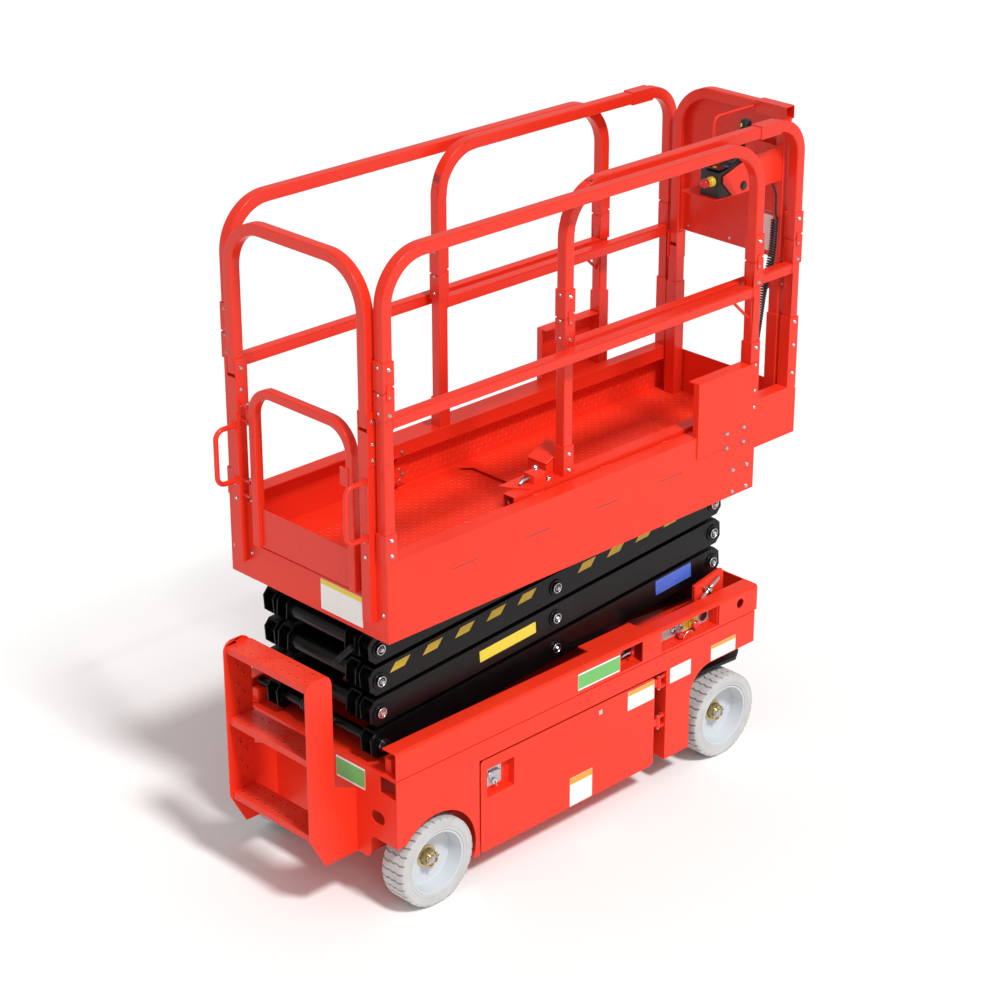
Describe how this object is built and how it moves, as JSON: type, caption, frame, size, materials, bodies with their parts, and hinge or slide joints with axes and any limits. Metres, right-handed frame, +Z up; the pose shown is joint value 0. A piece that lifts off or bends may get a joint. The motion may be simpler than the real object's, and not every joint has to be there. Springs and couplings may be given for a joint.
{
  "type": "electric scissor lift",
  "caption": "Self-propelled scissor lift: chassis with steered wheels and swing-out trays, stacked crossed arms, and a railed platform with a sliding deck, entry gate and ladder",
  "frame": {"origin": "on the floor under the middle of the whole machine", "axes": "+X towards the steered end and the sliding deck, +Y to the machine's left, +Z up"},
  "size_m": [2.11, 0.76, 2.217],
  "materials": {
    "body_red": "semi-gloss orange-red powder coat",
    "arm_black": "satin black paint",
    "part_black": "satin black paint",
    "bright_steel": "hard-chromed rod",
    "tyre_grey": "solid non-marking rubber",
    "rim_grey": "light grey powder coat",
    "cord_black": "soft extruded PVC",
    "box_black": "moulded matt plastic"
  },
  "bodies": {
    "chassis": {"chassis_deck": "body_red", "chassis_tail": "body_red", "chassis_belly": "body_red", "chassis_nose": "body_red", "chassis_skins": "body_red", "slide_rails": "body_red", "front_bumper": "body_red", "ground_control": "body_red", "ladder": "body_red", "rear_axle": "part_black"},
    "tray_left": {"tray_left": "body_red", "battery_block": "part_black"},
    "tray_right": {"tray_right": "body_red", "power_unit": "part_black"},
    "knuckle_left": {"knuckle_left": "part_black"},
    "knuckle_right": {"knuckle_right": "part_black"},
    "tie_rod": {"tie_rod": "part_black"},
    "lift_barrel": {"cylinder_barrel": "part_black"},
    "lift_rod": {"cylinder_rod": "bright_steel"},
    "platform": {"platform_floor": "body_red", "platform_tracks": "body_red", "platform_sills": "body_red", "bulkheads": "body_red", "main_rails": "body_red", "rear_rail_lower": "body_red"},
    "rear_hoop": {"rear_rail_upper": "body_red"},
    "gate": {"gate": "body_red"},
    "extension": {"extension_deck": "body_red", "extension_sides": "body_red", "extension_rails": "body_red", "front_posts": "body_red", "front_rail": "body_red", "control_bracket": "body_red", "control_box": "box_black", "control_cord": "cord_black", "cord_coil": "cord_black", "cord_socket": "box_black"},
    "wheel_rear_left": {"tyre_rear_left": "tyre_grey", "rim_rear_left": "rim_grey"},
    "wheel_rear_right": {"tyre_rear_right": "tyre_grey", "rim_rear_right": "rim_grey"},
    "wheel_front_left": {"tyre_front_left": "tyre_grey", "rim_front_left": "rim_grey"},
    "wheel_front_right": {"tyre_front_right": "tyre_grey", "rim_front_right": "rim_grey"},
    "inner_1": {"inner_arm_1": "arm_black"},
    "outer_1": {"outer_arm_1": "arm_black"},
    "inner_2": {"inner_arm_2": "arm_black"},
    "outer_2": {"outer_arm_2": "arm_black"},
    "inner_3": {"inner_arm_3": "arm_black"},
    "outer_3": {"outer_arm_3": "arm_black"},
    "inner_4": {"inner_arm_4": "arm_black"},
    "outer_4": {"outer_arm_4": "arm_black"}
  },
  "joints": [
    {"name": "lift", "type": "hinge", "parent": "chassis", "child": "inner_1", "pos_m": [0.711, 0, 0.572], "axis": [0, 1, 0], "range_deg": [0, 54]},
    {"name": "stage_1_cross", "type": "hinge", "parent": "inner_1", "child": "outer_1", "pos_m": [-0.049, 0, 0.62625], "axis": [0, 1, 0], "range_deg": [-108, 0]},
    {"name": "rear_pin_1", "type": "hinge", "parent": "inner_1", "child": "outer_2", "pos_m": [-0.809, 0, 0.6805], "axis": [0, 1, 0], "range_deg": [-108, 0]},
    {"name": "stage_2_cross", "type": "hinge", "parent": "outer_2", "child": "inner_2", "pos_m": [-0.049, 0, 0.73475], "axis": [0, 1, 0], "range_deg": [0, 108]},
    {"name": "front_pin_2", "type": "hinge", "parent": "outer_2", "child": "inner_3", "pos_m": [0.711, 0, 0.789], "axis": [0, 1, 0], "range_deg": [0, 108]},
    {"name": "stage_3_cross", "type": "hinge", "parent": "inner_3", "child": "outer_3", "pos_m": [-0.049, 0, 0.84325], "axis": [0, 1, 0], "range_deg": [-108, 0]},
    {"name": "rear_pin_3", "type": "hinge", "parent": "inner_3", "child": "outer_4", "pos_m": [-0.809, 0, 0.8975], "axis": [0, 1, 0], "range_deg": [-108, 0]},
    {"name": "stage_4_cross", "type": "hinge", "parent": "outer_4", "child": "inner_4", "pos_m": [-0.049, 0, 0.95175], "axis": [0, 1, 0], "range_deg": [0, 108]},
    {"name": "platform_pin", "type": "hinge", "parent": "outer_4", "child": "platform", "pos_m": [0.711, 0, 1.006], "axis": [0, 1, 0], "range_deg": [0, 54]},
    {"name": "cylinder_foot", "type": "hinge", "parent": "inner_1", "child": "lift_barrel", "pos_m": [-0.68239, 0, 0.60128], "axis": [0, 1, 0], "range_deg": [-98.2, 0]},
    {"name": "cylinder_rod", "type": "slide", "parent": "lift_barrel", "child": "lift_rod", "axis": [0.9501, 0, 0.312], "range_m": [0, 0.30002]},
    {"name": "steering", "type": "hinge", "parent": "chassis", "child": "knuckle_left", "pos_m": [0.657, 0.24, 0.1525], "axis": [0, 0, 1], "range_deg": [-58, 58]},
    {"name": "steering_right", "type": "hinge", "parent": "chassis", "child": "knuckle_right", "pos_m": [0.657, -0.24, 0.1525], "axis": [0, 0, 1], "range_deg": [-58, 58]},
    {"name": "tie_rod_pin", "type": "hinge", "parent": "knuckle_left", "child": "tie_rod", "pos_m": [0.769, 0.24, 0.3395], "axis": [0, 0, 1], "range_deg": [-58, 58]},
    {"name": "wheel_rear_left_spin", "type": "hinge", "parent": "chassis", "child": "wheel_rear_left", "pos_m": [-0.697, 0.33, 0.1525], "axis": [0, 1, 0], "continuous": true},
    {"name": "wheel_rear_right_spin", "type": "hinge", "parent": "chassis", "child": "wheel_rear_right", "pos_m": [-0.697, -0.33, 0.1525], "axis": [0, 1, 0], "continuous": true},
    {"name": "wheel_front_left_spin", "type": "hinge", "parent": "knuckle_left", "child": "wheel_front_left", "pos_m": [0.657, 0.33, 0.1525], "axis": [0, 1, 0], "continuous": true},
    {"name": "wheel_front_right_spin", "type": "hinge", "parent": "knuckle_right", "child": "wheel_front_right", "pos_m": [0.657, -0.33, 0.1525], "axis": [0, 1, 0], "continuous": true},
    {"name": "tray_left_swing", "type": "hinge", "parent": "chassis", "child": "tray_left", "pos_m": [0.33, 0.362, 0.26], "axis": [0, 0, -1], "range_deg": [0, 95]},
    {"name": "tray_right_swing", "type": "hinge", "parent": "chassis", "child": "tray_right", "pos_m": [0.33, -0.362, 0.26], "axis": [0, 0, 1], "range_deg": [0, 95]},
    {"name": "gate_swing", "type": "hinge", "parent": "platform", "child": "gate", "pos_m": [-0.88, 0.242, 1.4], "axis": [0, 0, 1], "range_deg": [0, 90]},
    {"name": "rear_hoop_fold", "type": "hinge", "parent": "platform", "child": "rear_hoop", "pos_m": [-0.88, 0, 1.68], "axis": [0, 1, 0], "range_deg": [0, 90]},
    {"name": "extension_slide", "type": "slide", "parent": "platform", "child": "extension", "axis": [1, 0, 0], "range_m": [0, 0.9]}
  ],
  "couplings": [
    {"joint": "stage_1_cross", "follows": "lift", "ratio": -2},
    {"joint": "rear_pin_1", "follows": "lift", "ratio": -2},
    {"joint": "stage_2_cross", "follows": "lift", "ratio": 2},
    {"joint": "front_pin_2", "follows": "lift", "ratio": 2},
    {"joint": "stage_3_cross", "follows": "lift", "ratio": -2},
    {"joint": "rear_pin_3", "follows": "lift", "ratio": -2},
    {"joint": "stage_4_cross", "follows": "lift", "ratio": 2},
    {"joint": "platform_pin", "follows": "lift", "ratio": 1},
    {"joint": "cylinder_foot", "follows": "lift", "ratio": -1.8185},
    {"joint": "cylinder_rod", "follows": "lift", "m_per_rad": 0.31833},
    {"joint": "steering_right", "follows": "steering", "ratio": 1},
    {"joint": "tie_rod_pin", "follows": "steering", "ratio": -1}
  ]
}
